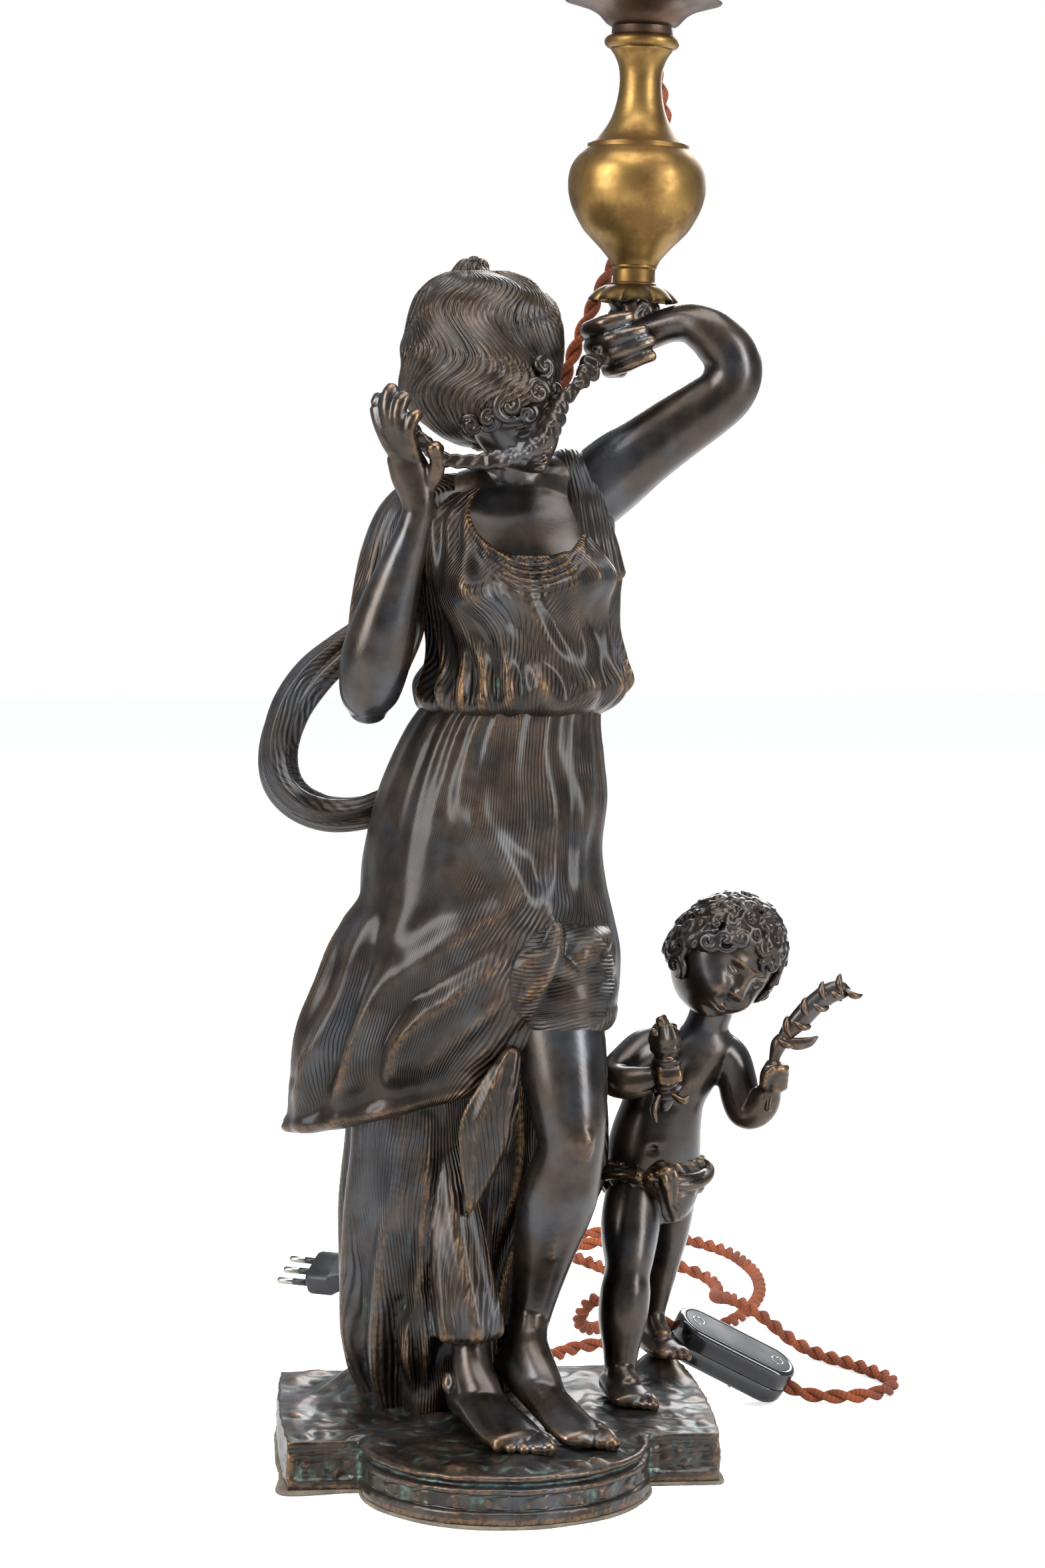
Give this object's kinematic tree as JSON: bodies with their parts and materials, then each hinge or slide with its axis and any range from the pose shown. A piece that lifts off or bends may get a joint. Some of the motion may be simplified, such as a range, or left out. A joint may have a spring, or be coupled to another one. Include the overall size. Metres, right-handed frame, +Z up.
{
  "type": "figural table lamp",
  "caption": "Table lamp with a bronze woman and cherub on a moulded plinth; her raised arm carries a brass vase-shaped stem, drip cup and lampholder, with twisted cord, in-line switch and plug.",
  "frame": {"origin": "middle of the plinth's plan on the felt's underside", "axes": "+Z up, -Y towards the viewer's front, +X to the viewer's right, where the raised arm and the stem are"},
  "size_m": [0.3349, 0.641, 0.757],
  "materials": {
    "bronze": "dark brown-black patina with warm rubbed edges and verdigris in the hollows",
    "felt": "worn grey-brown felt",
    "steel": "plain steel",
    "aged_brass": "aged satin brass",
    "dark_brass": "brass gone dark",
    "holder_brass": "satin brass",
    "porcelain": "glazed white",
    "nickel": "bright nickel",
    "cord_braid": "twisted cotton braid, faded rust red",
    "black_plastic": "glossy black",
    "plug_plastic": "satin black"
  },
  "bodies": {
    "lamp": {"plinth": "bronze", "felt_pad": "felt", "figure_bolt": "steel", "figure_washer": "steel", "cherub_bolt": "steel", "cherub_washer": "steel", "woman_skirt": "bronze", "woman_underskirt": "bronze", "woman_rear_drapery": "bronze", "woman_bodice": "bronze", "woman_head": "bronze", "woman_raised_arm": "bronze", "woman_sleeve": "bronze", "woman_forearm": "bronze", "woman_bare_leg": "bronze", "woman_standing_foot": "bronze", "scarf_loop": "bronze", "garland": "bronze", "cherub_body": "bronze", "cherub_head": "bronze", "cherub_raised_arm": "bronze", "cherub_bent_arm": "bronze", "cherub_front_leg": "bronze", "cherub_rear_leg": "bronze", "cherub_loincloth": "bronze", "cherub_flower": "bronze", "cherub_bud": "bronze", "stem_socket": "bronze", "stem_tube": "aged_brass", "petal_cup": "aged_brass", "stem_collar": "aged_brass", "stem_vase": "aged_brass", "stem_neck": "aged_brass", "stem_ring": "aged_brass", "drip_cup": "dark_brass", "cup_nut": "aged_brass", "stem_bush": "aged_brass", "holder_cap": "holder_brass", "holder_shell": "holder_brass", "holder_insert": "porcelain", "holder_contact": "nickel", "shade_ring": "holder_brass", "cord_gland": "black_plastic", "cord_upper": "cord_braid", "cord_lower": "cord_braid", "switch_upper": "black_plastic", "switch_lower": "black_plastic", "switch_screws": "steel", "plug_body": "plug_plastic", "plug_pins": "nickel", "plug_sleeves": "plug_plastic"},
    "rocker": {"switch_rocker": "black_plastic"}
  },
  "joints": [
    {"name": "rocker_tip", "type": "hinge", "parent": "lamp", "child": "rocker", "pos_m": [0.12429, 0.08372, 0.01895], "axis": [0.1451, 0.9511, 0.2728], "range_deg": [-24, 0]}
  ]
}
